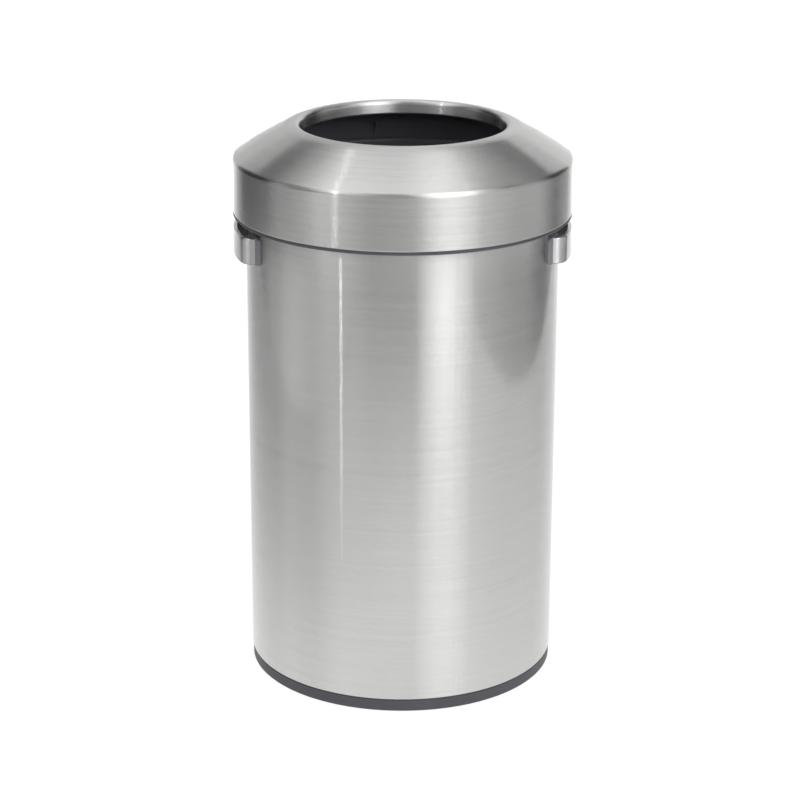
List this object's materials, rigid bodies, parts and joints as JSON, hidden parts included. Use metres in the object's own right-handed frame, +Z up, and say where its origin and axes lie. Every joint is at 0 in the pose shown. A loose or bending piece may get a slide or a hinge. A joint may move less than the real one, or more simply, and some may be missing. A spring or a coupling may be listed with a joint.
{
  "type": "waste receptacle",
  "caption": "Brushed steel waste receptacle with a lift-off dome lid, open round throat, side grips, rigid liner, bag ring and plastic foot ring.",
  "frame": {"origin": "on the floor, at the centre of the foot pads, on the axis of the steel tube", "axes": "+Z up along the tube's axis; the grips are on -X (left) and +X (right); the front faces -Y"},
  "size_m": [0.4547, 0.4548, 0.7624],
  "materials": {
    "brushed_steel": "fine circumferential brushing",
    "satin_steel": "satin",
    "black_plastic": "semi-gloss moulded",
    "grey_plastic": "fine grain",
    "zinc_steel": "zinc plated",
    "pad_rubber": "matte"
  },
  "bodies": {
    "body": {"body_shell": "brushed_steel", "rim_trim": "black_plastic", "base_ring": "grey_plastic", "base_pan": "zinc_steel", "base_screws": "zinc_steel", "floor_pads": "pad_rubber", "handle_left_grip": "satin_steel", "handle_left_carrier": "grey_plastic", "handle_left_plate": "zinc_steel", "handle_right_grip": "satin_steel", "handle_right_carrier": "grey_plastic", "handle_right_plate": "zinc_steel", "handle_screws": "zinc_steel"},
    "liner": {"liner": "black_plastic"},
    "bag_ring": {"bag_ring": "black_plastic"},
    "lid": {"lid_shell": "brushed_steel", "lid_trim_ring": "grey_plastic", "lid_frame": "black_plastic", "lid_lining": "black_plastic", "lid_screws": "zinc_steel"}
  },
  "joints": [
    {"name": "liner_lift", "type": "slide", "parent": "body", "child": "liner", "axis": [0, 0, 1], "range_m": [0, 0.68]},
    {"name": "bag_ring_lift", "type": "slide", "parent": "liner", "child": "bag_ring", "axis": [0, 0, 1], "range_m": [0, 0.08]},
    {"name": "lid_lift", "type": "slide", "parent": "bag_ring", "child": "lid", "axis": [0, 0, 1], "range_m": [0, 0.25]}
  ]
}
